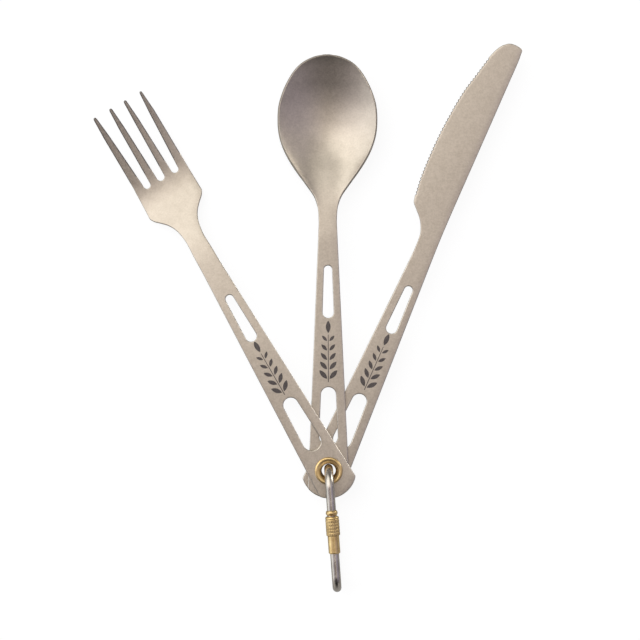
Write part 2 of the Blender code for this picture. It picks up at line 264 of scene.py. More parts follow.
def handle_end():
    """The round end, from the left side around to the right, with softened corners."""
    straight_to = -4.5
    angle = 40.5
    corner_v = END_RADIUS * math.cos(math.radians(angle))
    corner_t = -END_RADIUS * math.sin(math.radians(angle))
    end = arc(0, 0, END_RADIUS, 180 + angle + 6, 360 - angle - 6, 40)
    left = rounded([(-handle_half(straight_to), straight_to), (-corner_v, corner_t), end[0]], 1.1)
    right = rounded([end[-1], (corner_v, corner_t), (handle_half(straight_to), straight_to)], 1.1)
    return left + end[1:-1] + right


def slot_loop(slot):
    """A long slot whose sides run with the handle's taper and whose ends are round."""
    low, high, wide = slot
    r_low = wide - TAPER * (low + wide)
    r_high = wide - TAPER * (high - wide * 0.5)
    lean = math.degrees(math.asin((r_low - r_high) / (high - r_high - low - r_low)))
    bottom = arc(0, low + r_low, r_low, 180 - lean, 360 + lean, 28)
    top = arc(0, high - r_high, r_high, lean, 180 - lean, 28)
    return bottom + top


def handle_holes(high_slot):
    """The hole for the eyelet and the two slots."""
    return [arc(0, 0, HOLE_RADIUS, 0, 354, 59), slot_loop(LOW_SLOT), slot_loop(high_slot)]


def inside(point, loop):
    """Whether a point lies inside a closed loop."""
    v, t = point
    hit = False
    for (v1, t1), (v2, t2) in zip(loop, loop[1:] + loop[:1]):
        if (t1 > t) != (t2 > t) and v < (v2 - v1) * (t - t1) / (t2 - t1) + v1:
            hit = not hit
    return hit


def signed_area(loop):
    """Positive for a loop that runs anticlockwise."""
    return sum(a[0] * b[1] - b[0] * a[1] for a, b in zip(loop, loop[1:] + loop[:1])) / 2


def inward_normals(loop):
    """Unit vectors at each point of a loop that has the metal on its left."""
    out = []
    for before, after in zip(loop[-1:] + loop[:-1], loop[1:] + loop[:1]):
        along = Vector((after[0] - before[0], after[1] - before[1]))
        out.append(Vector((-along.y, along.x)).normalized())
    return out


# ---------------------------------------------------------------- pressed sheets

# the outer edges are tumbled: the skin falls by this much over this width
CROWN = 0.085
CROWN_WIDTH = 2.7
# how many rows of faces round an edge takes on each side, and the longest side an outline keeps
ROUND_ROWS = 5
LONGEST_SIDE = 1.5


def handle_crown(v, t):
    """The right side is tumbled more than the left."""
    return 0.5 + 1.4 * step_up(v, -1.0, 1.0)


def nearest_on_loop(points, loop):
    """For each point, its distance to a closed loop and the unit vector away from the loop."""
    start = np.array(loop)
    along = np.roll(start, -1, axis=0) - start
    points = np.array(points)
    offset = points[:, None, :] - start[None, :, :]
    share = np.clip((offset * along).sum(axis=2) / (along * along).sum(axis=1), 0, 1)
    gap = offset - share[:, :, None] * along
    reach = np.hypot(gap[:, :, 0], gap[:, :, 1])
    best = reach.argmin(axis=1)
    rows = np.arange(len(points))
    distance = reach[rows, best]
    return distance, gap[rows, best] / np.maximum(distance, 1e-9)[:, None]


def split_long(loop, most):
    """The loop with points added, so that no side is longer than most."""
    out = []
    for (v0, t0), (v1, t1) in zip(loop, loop[1:] + loop[:1]):
        count = max(1, math.ceil(math.hypot(v1 - v0, t1 - t0) / most))
        out += [(v0 + (v1 - v0) * i / count, t0 + (t1 - t0) * i / count) for i in range(count)]
    return out


def half_sheet(v, t):
    return SHEET / 2


def full_round(v, t):
    return 1.0


def nowhere(v, t):
    return False


class Sheet:
    """A pressed sheet with rounded edges, made from its plan, its height and its thickness.

    middle, half, crown_share, round_share and the fifth argument are functions of (v, t): the height, half
    the thickness, the shares of CROWN and EDGE_ROUND, and whether the edge's rounding takes the darker
    metal that paints shade there.
    """

    def __init__(self, middle, half, stretch, crown_share, round_share, shaded_edge, edge_shade_metal):
        self.middle = middle
        self.half = half
        self.stretch = stretch
        self.crown_share = crown_share
        self.round_share = round_share
        self.shaded_edge = shaded_edge
        self.edge_shade_metal = edge_shade_metal

    def skin(self, v, t, side):
        """A point on the upper (side 1) or lower (side -1) skin, and the outward normal there."""
        d = 0.04

        def point(a, b):
            slope_v = (self.middle(a + d, b) - self.middle(a - d, b)) / (2 * d)
            slope_t = (self.middle(a, b + d) - self.middle(a, b - d)) / (2 * d)
            out = Vector((-slope_v, -slope_t, 1.0)).normalized()
            return Vector((a, b, self.middle(a, b))) + out * self.half(a, b) * side

        centre = point(v, t)
        across = point(v + d, t) - point(v - d, t)
        along = point(v, t + d) - point(v, t - d)
        return centre, across.cross(along).normalized() * side

    def build(self, name, outline, holes, extra, marks=()):
        """The mesh of a flat outline with holes, inner points that follow the bends, and etched marks."""
        loops = [outline if signed_area(outline) > 0 else outline[::-1]]
        loops += [h[::-1] if signed_area(h) > 0 else h for h in holes]
        loops = [split_long(loop, LONGEST_SIDE) for loop in loops]
        points, edges, starts, rounds, inwards = [], [], [], [], []
        for loop in loops:
            normals = inward_normals(loop)
            starts.append(len(points))
            inwards.append(normals)
            rounds.append([min(EDGE_ROUND * self.round_share(*p), self.half(*p) * 0.7) for p in loop])
            inner = [(p[0] + n.x * r, p[1] + n.y * r) for p, n, r in zip(loop, normals, rounds[-1])]
            first = len(points)
            points += inner
            edges += [(first + i, first + (i + 1) % len(loop)) for i in range(len(loop))]
        inner_loops = [points[s:s + len(loop)] for s, loop in zip(starts, loops)]
        for mark in marks:
            first = len(points)
            points += mark
            edges += [(first + i, first + (i + 1) % len(mark)) for i in range(len(mark))]
        # rows of points that follow the outline carry the tumbled fall of the skin
        for inset in (0.8, 1.3, CROWN_WIDTH):
            row = [(p[0] + n.x * inset, p[1] + n.y * inset) for p, n in zip(loops[0], inwards[0])]
            reach, _ = nearest_on_loop(row, loops[0])
            extra = extra + [p for p, r in list(zip(row, reach))[::2] if r > inset * 0.97]
        clear = np.full(len(extra), 1e9)
        for loop in inner_loops:
            clear = np.minimum(clear, nearest_on_loop(extra, loop)[0])
        points += [p for p, c in zip(extra, clear) if c > 0.12 and inside(p, inner_loops[0])]
        flat, _, tris, sources, _, _ = delaunay_2d_cdt([Vector(p) for p in points], edges, [], 0, 1e-6)
        where = {}
        for index, origin in enumerate(sources):
            for source in origin:
                where[source] = index
        reach, away = nearest_on_loop([tuple(p) for p in flat], loops[0])
        verts, normals, faces, kinds = [], [], [], []
        used = {}

        def fallen(index, point, normal, side):
            """The skin's point and normal with the tumbled fall near the outline."""
            left = max(1 - reach[index] / CROWN_WIDTH, 0.0)
            share = self.crown_share(point.x, point.y) * CROWN
            slope = 2 * share * left / CROWN_WIDTH
            outward = Vector((-away[index][0], -away[index][1], 0))
            return point - normal * share * left * left, (normal + outward * slope).normalized()

        def corner(index, side):
            key = (index, side)
            if key not in used:
                p, n = fallen(index, *self.skin(flat[index][0], flat[index][1], side), side)
                used[key] = len(verts)
                verts.append(p)
                normals.append(n)
            return used[key]

        for tri in tris:
            v = sum(flat[i][0] for i in tri) / 3
            t = sum(flat[i][1] for i in tri) / 3
            if not inside((v, t), inner_loops[0]) or any(inside((v, t), h) for h in inner_loops[1:]):
                continue
            marked = any(inside((v, t), m) for m in marks)
            faces.append([corner(i, 1) for i in tri])
            kinds.append(2 if marked else 0)
            faces.append([corner(i, -1) for i in reversed(tri)])
            kinds.append(0)

        # each edge is a strip that runs from the upper skin round to the lower one
        for loop, start, inward, round_by in zip(loops, starts, inwards, rounds):
            strips = []
            for i, (p, n, r) in enumerate(zip(loop, inward, round_by)):
                strip = [corner(where[start + i], 1)]
                for side in (1, -1):
                    order = range(1, ROUND_ROWS + 1) if side == 1 else range(ROUND_ROWS, 0, -1)
                    for k in order:
                        a = math.pi / 2 * k / ROUND_ROWS
                        inset = r * (1 - math.sin(a))
                        base, up = self.skin(p[0] + n.x * inset, p[1] + n.y * inset, side)
                        base, up = fallen(where[start + i], base, up, side)
                        out = Vector((-n.x, -n.y, 0))
                        out = (out - up * out.dot(up)).normalized()
                        verts.append(base - up * r * (1 - math.cos(a)))
                        normals.append((up * math.cos(a) + out * math.sin(a)).normalized())
                        strip.append(len(verts) - 1)
                strip.append(corner(where[start + i], -1))
                strips.append(strip)
            for a, b, p in zip(strips, strips[1:] + strips[:1], loop):
                for k in range(len(a) - 1):
                    faces.append([b[k], a[k], a[k + 1], b[k + 1]])
                    # kind 3 is the darker metal that paints shade on the edge's rounding
                    kinds.append(3 if self.shaded_edge(*p) else 1 if p[1] < HEAD_START else 0)

        mesh = bpy.data.meshes.new(name)
        mesh.from_pydata([(p.x * MM, p.y * self.stretch * MM, p.z * MM) for p in verts], [], faces)
        for mat in (TITANIUM, EDGE, ETCHED, self.edge_shade_metal):
            mesh.materials.append(mat)
        for poly, kind in zip(mesh.polygons, kinds):
            poly.use_smooth = True
            poly.material_index = kind
        mesh.normals_split_custom_set_from_vertices([tuple(n) for n in normals])
        return mesh


def link(name, mesh, matrix):
    obj = bpy.data.objects.new(name, mesh)
    bpy.context.scene.collection.objects.link(obj)
    placed = matrix.copy()
    placed.translation = matrix.translation * MM
    obj.matrix_world = placed
    return obj


def link_turned(name, mesh, matrix):
    """As link, with the turn put into the mesh, so that the object stays square to the world."""
    turn = matrix.to_3x3()
    kept = [turn @ n.vector for n in mesh.corner_normals]
    mesh.transform(turn.to_4x4())
    mesh.normals_split_custom_set([tuple(n) for n in kept])
    return link(name, mesh, Matrix.Translation(matrix.translation))


def on_pivot(z, angle):
    return Matrix.Translation((*PIVOT, z)) @ Matrix.Rotation(math.radians(angle), 4, "Z")


# ---------------------------------------------------------------- the etched mark

def leaf(cv, ct, length, width, angle):
    """A pointed leaf as a loop, from its foot at (cv, ct), leaning by angle from the handle's length."""
    out = []
    count = 12
    for side in (1, -1):
        for i in range(count):
            s = i / count
            if side == -1:
                s = 1 - s
            across = side * width / 2 * math.sin(math.pi * s) ** 0.8
            along = length * s
            a = math.radians(angle)
            out.append((
                cv + along * math.sin(a) + across * math.cos(a),
                ct + along * math.cos(a) - across * math.sin(a),
            ))
    return out


LEAF_PAIRS = 5
LEAF_STEP = 3.5
LEAF_ANGLE = 42
STEM = 17.6


def sprig(base):
    """A plain etched sprig on the handle: a stem with leaves in pairs, and one at its end."""
    marks = []
    for i in range(LEAF_PAIRS):
        t = base + 1.2 + LEAF_STEP * i
        size = 1.0 - 0.09 * i
        for side in (1, -1):
            marks.append(leaf(side * 0.45, t, 4.3 * size, 1.7 * size, side * LEAF_ANGLE))
    marks.append(leaf(0.0, base + 18.2, 4.6, 1.8, 0))
    marks.append([(-0.16, base), (0.16, base), (0.12, base + STEM), (-0.12, base + STEM)])
    return marks


# ---------------------------------------------------------------- spoon

# its place in the stack: how high its middle lies, its angle, and how much it is longer than drawn
SPOON_Z, SPOON_ANGLE, SPOON_STRETCH = 8.50, 0.2, 1.005
SPOON_TIP = 154.4
SPOON_DEPTH = 6.4
# how far the rim lies below the handle
SPOON_DROP = 1.59
# half the width of the neck and the bowl
spoon_half = curve_through([
    (HEAD_START, 3.58), (93, 3.43), (98, 3.85), (102, 5.15), (106.5, 8.15),
    (111, 11.4), (115.5, 14.3), (120, 16.55), (125, 18.0), (130, 18.43), (135.6, 18.05),
    (140.5, 16.6), (145, 14.5), (149, 11.85), (151.5, 9.1), (153.3, 5.6), (154.1, 2.85),
])

# how much of the bowl's depth is reached along its middle
spoon_valley = curve_through([
    (HEAD_START, 0.0), (93, 0.005), (99, 0.03), (105, 0.135), (111, 0.38), (117, 0.71), (122, 0.92),
    (127, 1.0), (132, 0.975), (137, 0.89), (142, 0.73), (146, 0.535), (150, 0.315), (152.6, 0.15),
    (SPOON_TIP, 0.0),
])


def spoon_middle(v, t):
    across = min(abs(v) / spoon_half(t), 1.0)
    rim = -SPOON_DROP * step_up(t, 84, 110) + 0.9 * step_up(t, 128, 156)
    # the throat is flatter across than the bowl
    power = 1.9 + 1.85 * (1 - step_up(t, 106, 122))
    return rim - SPOON_DEPTH * spoon_valley(t) * (1 - across ** power)


def spoon_crown(v, t):
    """The tumbling stops where the bowl begins."""
    return handle_crown(v, t) * (1 - step_up(t, 100, 112))


def spoon_round(v, t):
    """The bowl's rim is rounded half as much as the handle's edge."""
    return 1 - 0.5 * step_up(t, 98, 112)


def make_spoon():
    stations = steps(HEAD_START, 149.0, 0.9) + [149.8, 150.6, 151.3, 152.0, 152.6, 153.1, 153.6, 154.1]
    side = [(spoon_half(t), t) for t in stations]
    tip = rounded([side[-1], (1.4, SPOON_TIP), (0.0, SPOON_TIP + 0.02)], 1.2)[1:]
    right = side + tip
    left = [(-v, t) for v, t in reversed(right[:-1])]
    outline = handle_end() + right + left
    extra = []
    for t in steps(86.0, 153.4, 1.1):
        half = spoon_half(t) - 0.5
        count = max(1, round(half / 1.1))
        extra += [(half * j / count, t) for j in range(1 - count, count)]
    metal = Sheet(spoon_middle, half_sheet, SPOON_STRETCH, spoon_crown, spoon_round, nowhere, GULLET_SHADE)
    mesh = metal.build("spoon_sheet", outline, handle_holes(SPOON_HIGH_SLOT), extra, sprig(SPRIG_FROM))
    obj = link_turned("spoon_sheet", mesh, on_pivot(SPOON_Z, SPOON_ANGLE))
    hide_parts("spoon")
    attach(obj, "spoon_body")


# ---------------------------------------------------------------- fork

FORK_Z, FORK_ANGLE, FORK_STRETCH = 9.75, 30.0, 1.003
SHOULDER = 114.2
TINE_ROOT = 125.2
FORK_TIP = 157.2
# where a tine's sides start, change their slope and end
TINE_FROM, TINE_BEND, TINE_TO = 126.7, 149.0, 156.8
# half the head's width below the shoulders, and where that starts
FLANK_HALF, FLANK_FROM = 11.28, 116.2
# the rounding of the tines' edges is painted darker than the rest from here, as painted shade
TINE_EDGE_FROM = 131
# half the width of the neck, up to the shoulders
fork_half = curve_through([
    (HEAD_START, 3.95), (94, 3.85), (99.5, 3.65), (102.8, 4.0), (105.8, 4.7),
    (108.8, 6.3), (111, 8.3), (112.8, 10.2), (SHOULDER, 11.1),
])
# how high the sheet lies along the fork
fork_bend = curve_through([
    (40, 0.0), (46, -0.03), (53, -0.14), (62, -0.45), (72, -0.90), (80, -1.36), (90, -2.15),
    (96, -2.95), (100, -3.75), (104, -4.80), (112, -7.0), (116, -8.03), (119, -8.68), (123, -9.05),
    (127, -8.86), (130, -8.45), (138, -6.95), (146, -5.15), (154, -3.0), (158, -1.85),
])
# each tine's centre and half width at its root, midway and near its tip
TINES = [
    ((-9.05, 1.85), (-9.78, 1.14), (-10.0, 0.62)),
    ((-2.95, 1.62), (-3.17, 1.08), (-3.22, 0.62)),
    ((3.20, 1.62), (3.10, 1.02), (2.98, 0.62)),
    ((9.30, 1.75), (9.74, 1.10), (9.75, 0.55)),
]


def fork_middle(v, t):
    """The head is domed across as well as bent along its length."""
    crowned = 0.3 * step_up(t, 106, 120) * (1 - step_up(t, 134, 156))
    return fork_bend(t) + crowned * (0.6 - (min(abs(v), 12.0) / 11.0) ** 2)


def tine_edge(tine, t, side):
    """A tine's left (side -1) or right (side 1) edge at t."""
    (c0, h0), (c1, h1), (c2, h2) = tine
    if t < TINE_BEND:
        s = (t - TINE_FROM) / (TINE_BEND - TINE_FROM)
        return c0 + (c1 - c0) * s + side * (h0 + (h1 - h0) * s)
    s = (t - TINE_BEND) / (TINE_TO - TINE_BEND)
    return c1 + (c2 - c1) * s + side * (h1 + (h2 - h1) * s)


def fork_crown(v, t):
    """The tines are tumbled less than the handle."""
    return handle_crown(v, t) * (1 - 0.6 * step_up(t, 118, 128))


def on_tine(v, t):
    return t > TINE_EDGE_FROM


def make_fork():
    rows = steps(127.6, 156.4, 0.9)
    side = [(fork_half(t), t) for t in steps(HEAD_START, SHOULDER, 0.6)]
    shoulder = rounded([side[-1], (11.34, 114.8), (FLANK_HALF, FLANK_FROM)], 0.7)[1:]
    flank = [(FLANK_HALF - 0.26 * (t - FLANK_FROM) / 10.0, t) for t in steps(117.0, 126.2, 0.9)]
    right_side = side + shoulder + flank
    outline = handle_end() + right_side
    # from the right tine to the left one: up each right edge, around the tip, down the left edge
    for i, tine in enumerate(reversed(TINES)):
        outline += [(tine_edge(tine, t, 1), t) for t in rows]
        tip_v, tip_half = tine[2]
        outline += arc(tip_v, FORK_TIP - tip_half * 0.95, tip_half * 0.95, 12, 168, 8)
        outline += [(tine_edge(tine, t, -1), t) for t in reversed(rows)]
        if i < 3:
            near = tine_edge(tine, rows[0], -1)
            far = tine_edge(TINES[2 - i], rows[0], 1)
            mid, r = (near + far) / 2, (near - far) / 2
            outline += arc(mid, TINE_ROOT + r, r, 0, -180, 14)
    outline += [(-v, t) for v, t in reversed(right_side)]
    extra = []
    for t in steps(86.0, 125.0, 1.1):
        half = (fork_half(t) if t < SHOULDER else 11.1) - 0.5
        count = max(1, round(half / 1.2))
        extra += [(half * j / count, t) for j in range(1 - count, count)]
    for tine in TINES:
        for t in steps(126.0, 155.5, 0.9):
            left, right = tine_edge(tine, t, -1) + 0.4, tine_edge(tine, t, 1) - 0.4
            extra += [(left + (right - left) * s, t) for s in (0.2, 0.5, 0.8)]
    # the tines' edge rounding takes the dark metal, painted shade
    metal = Sheet(fork_middle, half_sheet, FORK_STRETCH, fork_crown, full_round, on_tine, TINE_EDGE_SHADE)
    mesh = metal.build("fork_sheet", outline, handle_holes(FORK_HIGH_SLOT), extra, sprig(FORK_SPRIG_FROM))
    obj = link_turned("fork_sheet", mesh, on_pivot(FORK_Z, FORK_ANGLE))
    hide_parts("fork")
    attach(obj, "fork_body")


# ---------------------------------------------------------------- knife

KNIFE_Z, KNIFE_ANGLE = 7.25, -23.9
HEEL = 104.6
KNIFE_TIP = 173.46
TOOTH = 1.35
TOOTH_DEPTH = 0.36
TEETH_FROM, TEETH_TO = 107.0, 165.0
# the grind's width, and half the thickness that it leaves at the cutting edge
BEVEL = 0.75
EDGE_HALF = 0.37
# the cutting edge lies on the left and the spine on the right
knife_edge = curve_through([
    (HEAD_START, 4.15), (94, 4.45), (96.8, 5.35), (99.8, 7.15), (102.8, 10.05), (HEEL, 11.6),
    (108.8, 12.4), (115, 13.05), (126.7, 13.26), (135.6, 12.9), (149, 11.5), (158, 9.45),
    (165.4, 7.7), (169, 6.4), (171.3, 5.0), (172.8, 3.3),
])
knife_spine = curve_through(
    [(HEAD_START, 3.58), (96, 3.3), (106, 3.18), (130, 3.13), (160, 3.05), (170.0, 2.95), (172.8, 2.4)]
)


def tooth_share(t):
    """How deep the edge is cut between teeth: 0 at a point, 1 in a gullet, and 0 off the toothed length."""
    if not TEETH_FROM < t < TEETH_TO:
        return 0.0
    phase = (TEETH_TO - t) / TOOTH
    return 0.5 - 0.5 * math.cos(2 * math.pi * phase)


def knife_half_thickness(v, t):
    if t < HEEL - 3:
        return SHEET / 2
    inward = knife_edge(t) + v
    share = min(max(inward / BEVEL, 0.0), 1.0)
    bevel = EDGE_HALF + (SHEET / 2 - EDGE_HALF) * share
    # the grind starts gradually behind the heel
    start = step_up(t, HEEL - 2.0, HEEL + 0.8)
    gullet = 0.55 * tooth_share(t) * max(1 - inward / 0.9, 0.0)
    return SHEET / 2 + (bevel * (1 - 0.4 * gullet) - SHEET / 2) * start


def knife_middle(v, t):
    """The blade is very slightly domed across."""
    return -0.0025 * (v + 4.5) ** 2 * step_up(t, 100, 110)


def knife_crown(v, t):
    """The blade's ground side keeps its flat, and the rest is tumbled like the handles."""
    return handle_crown(v, t) * (1 - step_up(t, HEEL - 4, HEEL) * (1 - step_up(v, -2.0, 0.0)))


def toothed(v, t):
    """On the cutting edge, which lies left of the handle's line, where the edge's rounding is painted near
    black as shade in the teeth's gullets.
    """
    return v < -4 and TEETH_FROM < t < TEETH_TO


def make_knife():
    spine = [(knife_spine(t), t) for t in steps(HEAD_START, 171.0, 1.5)]
    tip = rounded([spine[-1], (2.72, 172.95), (0.6, KNIFE_TIP), (-1.9, 173.36), (-3.3, 172.8)], 1.3)[1:]
    back = [(-knife_edge(t), t) for t in (172.4, 171.8, 171.2, 170.4, 169.4, 168.2, 166.8, TEETH_TO)]
    outline = handle_end() + spine + tip + back
    teeth = steps(TEETH_TO, TEETH_FROM, TOOTH / 8)[1:]
    outline += [(-knife_edge(t) + TOOTH_DEPTH * tooth_share(t), t) for t in teeth]
    heel = (-knife_edge(HEEL + 0.3), HEEL + 0.3)
    neck = [(-knife_edge(t), t) for t in steps(HEEL - 0.3, HEAD_START, 0.6)]
    outline += rounded([heel, (-knife_edge(HEEL), HEEL), neck[0]], 0.4)
    outline += neck[1:]
    extra = []
    for inward in (0.62, BEVEL - 0.02, BEVEL + 0.05, 1.2, 2.2):
        gap = TOOTH / 6 if inward < 0.75 else TOOTH / 2
        extra += [(-knife_edge(t) + inward, t) for t in steps(HEEL - 1.5, 171.5, gap)]
    # the toothed edge's rounding takes the near-black metal, painted shade in the gullets
    metal = Sheet(knife_middle, knife_half_thickness, 1.0, knife_crown, full_round, toothed, GULLET_SHADE)
    mesh = metal.build("knife_sheet", outline, handle_holes(KNIFE_HIGH_SLOT), extra, sprig(SPRIG_FROM))
    obj = link_turned("knife_sheet", mesh, on_pivot(KNIFE_Z, KNIFE_ANGLE))
    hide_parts("knife")
    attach(obj, "knife_body")


# ---------------------------------------------------------------- turned brass

def turned(name, profile, count, matrix, mat, shape=None, patterned=None):
    """A closed profile of (radius, height) turned about local z.

    shape(angle, r, h) gives a new radius, and patterned is (material, low, high, least radius) of a zone.
    """
    verts, faces = [], []
    rows = len(profile)
    for i in range(count):
        a = 2 * math.pi * i / count
        for r, h in profile:
            k = shape(a, r, h) if shape else r
            verts.append((k * math.cos(a) * MM, k * math.sin(a) * MM, h * MM))
    for i in range(count):
        j = (i + 1) % count
        for k in range(rows):
            m = (k + 1) % rows
            faces.append((i * rows + k, j * rows + k, j * rows + m, i * rows + m))
    mesh = bpy.data.meshes.new(name)
    mesh.from_pydata(verts, [], faces)
    mesh.materials.append(mat)
    if patterned:
        zone, low, high, least = patterned
        mesh.materials.append(zone)
        for i, poly in enumerate(mesh.polygons):
            r, h = profile[i % rows]
            poly.material_index = int(low <= h < high and r > least)
    bm = bmesh.new()
    bm.from_mesh(mesh)
    bmesh.ops.recalc_face_normals(bm, faces=bm.faces)
    bm.to_mesh(mesh)
    bm.free()
    for poly in mesh.polygons:
        poly.use_smooth = True
    obj = link(name, mesh, matrix)
    weighted = obj.modifiers.new("even_shading", "WEIGHTED_NORMAL")
    weighted.mode = "FACE_AREA"
    weighted.weight = 80
    return obj


def closed_rounded(points, radius, count=4):
    """A closed profile with each corner replaced by a small curve."""
    size = len(points)
    out = []
    for i, corner in enumerate(points):
        a, b, c = Vector(points[i - 1]), Vector(corner), Vector(points[(i + 1) % size])
        back = (a - b).normalized() * min(radius, (a - b).length * 0.48)
        on = (c - b).normalized() * min(radius, (c - b).length * 0.48)
        for k in range(count + 1):
            s = k / count
            p = (b + back) * (1 - s) ** 2 + b * 2 * s * (1 - s) + (b + on) * s * s
            out.append(tuple(p))
    return out


BORE = 2.64
BARREL_RADIUS = 3.1
FLANGE_RADIUS = 5.15
# the heights between which the eyelet holds the three sheets
STACK_TOP = 10.25
STACK_LOW = 6.75


def make_eyelet():
    matrix = Matrix.Translation((*PIVOT, 0))
    # the front flange is rolled: its crest is nearer the rim, and it runs down into the bore
    crest = [(FLANGE_RADIUS, STACK_TOP + 0.24)]
    for i in range(1, 24):
        s = i / 24
        r = FLANGE_RADIUS - (FLANGE_RADIUS - BORE) * s
        rise = math.sin(math.pi * min(s * 1.02, 1.0) ** 0.62) ** 0.75
        crest.append((r, STACK_TOP + 0.24 + 0.54 * rise - 0.62 * s ** 2.4))
    profile = [(BORE, STACK_LOW - 0.72), (2.74, STACK_LOW - 0.75), (BARREL_RADIUS, STACK_LOW - 0.75)]
    profile += [(BARREL_RADIUS, STACK_TOP + 0.12), (FLANGE_RADIUS - 0.12, STACK_TOP + 0.12)]
    profile += crest
    profile += [(BORE, STACK_TOP - 0.45), (BORE, STACK_TOP - 1.6), (BORE, STACK_LOW)]
    obj = turned("eyelet_front", profile, 96, matrix, BRASS)
    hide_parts("eyelet_barrel")
    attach(obj, "eyelet_body")
    washer_bore = BARREL_RADIUS + 0.1
    washer = [(washer_bore, STACK_LOW - 0.12), (FLANGE_RADIUS, STACK_LOW - 0.12)]
    washer += [(FLANGE_RADIUS, STACK_LOW - 0.42), (4.4, STACK_LOW - 0.74), (washer_bore, STACK_LOW - 0.74)]
    back = turned("eyelet_back", closed_rounded(washer, 0.1), 96, matrix, BRASS)
    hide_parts("eyelet_washer")
    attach(back, "eyelet_body")


RING_Z, RING_LEAN = 8.5, 4.1
RING_PLACE = on_pivot(RING_Z, RING_LEAN)
# the wire's radius, and half the distance between the middles of its two legs
WIRE = 1.65
LEG = 6.85
# how far above and below the pivot the wire's middle reaches, and the radius of the lower corners
APEX = 0.8
RING_END = 43.4
CORNER = 5.0
# the front leg's opening, with a thread on either side of it
NOSE_TIP = 17.7
TAIL_TIP = 23.05
NOSE_THREAD, TAIL_THREAD = 1.75, 7.0
THREAD_PITCH = 0.5
THREAD_DEPTH = 0.17
TIP_CONE = 0.35


def ring_path():
    """The wire's centre line in the ring's own plane as (y, z), from the nose to the tail."""
    path = [(-s, LEG) for s in steps(NOSE_TIP, 17.0, 0.05)]
    path += [(-s, LEG) for s in steps(16.0, LEG - APEX + 0.5, 1.2)]
    centre = APEX - LEG
    path += [(y, z) for z, y in arc(0, centre, LEG, 0, 180, 60)]
    low = -(RING_END - CORNER)
    path += [(-s, -LEG) for s in steps(LEG - APEX + 1.5, -low - 1.0, 1.5)]
    side = LEG - CORNER
    path += [(y, z) for z, y in arc(-side, low, CORNER, 180, 270, 24)]
    path += [(y, z) for z, y in arc(side, low, CORNER, 270, 360, 24)]
    path += [(-s, LEG) for s in steps(-low - 1.0, 32.0, 1.2)]
    path += [(-s, LEG) for s in steps(31.5, TAIL_TIP, 0.0625)]
    return path


def make_ring():
    path = ring_path()
    last = len(path) - 1
    around = 32
    travelled = 0.0
    lengths = [0.0]
    verts, faces = [], []
    for a, b in zip(path, path[1:]):
        travelled += math.dist(a, b)
        lengths.append(travelled)
    for i, (y, z) in enumerate(path):
        y0, z0 = path[max(i - 1, 0)]
        y1, z1 = path[min(i + 1, last)]
        along = Vector((y1 - y0, z1 - z0)).normalized()
        from_tip = min(lengths[i], travelled - lengths[i])
        nose = lengths[i] < travelled / 2
        threaded = from_tip < (NOSE_THREAD if nose else TAIL_THREAD)
        # a small cone at each tip leads the nut on
        taper = TIP_CONE * max(1 - from_tip / TIP_CONE, 0.0)
        for k in range(around):
            a = 2 * math.pi * k / around
            r = WIRE - taper
            if threaded:
                turn = (from_tip / THREAD_PITCH + k / around * (1 if nose else -1)) % 1.0
                r -= THREAD_DEPTH * (1 - abs(2 * turn - 1))
            off = r * math.cos(a)
            verts.append((r * math.sin(a) * MM, (y - along.y * off) * MM, (z + along.x * off) * MM))
    for i in range(last):
        for k in range(around):
            m = (k + 1) % around
            faces.append((i * around + k, i * around + m, (i + 1) * around + m, (i + 1) * around + k))
    faces.append(tuple(reversed(range(around))))
    faces.append(tuple(range(last * around, (last + 1) * around)))
    mesh = bpy.data.meshes.new("ring_link")
    mesh.from_pydata(verts, [], faces)
    mesh.materials.append(STEEL)
    for poly in mesh.polygons:
        poly.use_smooth = len(poly.vertices) == 4
    mesh.set_sharp_from_angle(angle=math.radians(60))
    obj = link_turned("ring_link", mesh, RING_PLACE)
    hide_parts("ring_wire")
    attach(obj, "ring_body")


# where each one starts and ends down the front leg, and its radius
COLLAR = (14.15, 15.95, 2.2)
NUT = (16.25, 23.35, 2.55)
SLEEVE = (23.5, 30.1, 2.15)
NUT_BORE = 1.8
COLLAR_BORE = 1.85
SLEEVE_CHAMFER = 0.35
KNURL_ROW = 1.16
KNURL_COUNT = 20
KNURL_FROM, KNURL_TO = 1.2, 7.0
KNURL_DEPTH = 0.12


def on_leg(start):
    """A frame on the ring's front leg: local z runs down the leg from start."""
    return RING_PLACE @ Matrix.Translation((0, -start, LEG)) @ Matrix.Rotation(math.radians(90), 4, "X")


def knurled(angle, r, h):
    """Rows of rounded studs pressed into the nut's outside."""
    if r < NUT[2] - 0.05 or not KNURL_FROM < h < KNURL_TO:
        return r
    across = abs(math.sin(angle * KNURL_COUNT / 2))
    along = abs(math.sin(math.pi * (h - KNURL_FROM) / KNURL_ROW))
    return r + 0.02 - KNURL_DEPTH * (1 - min(across, along) ** 0.7)


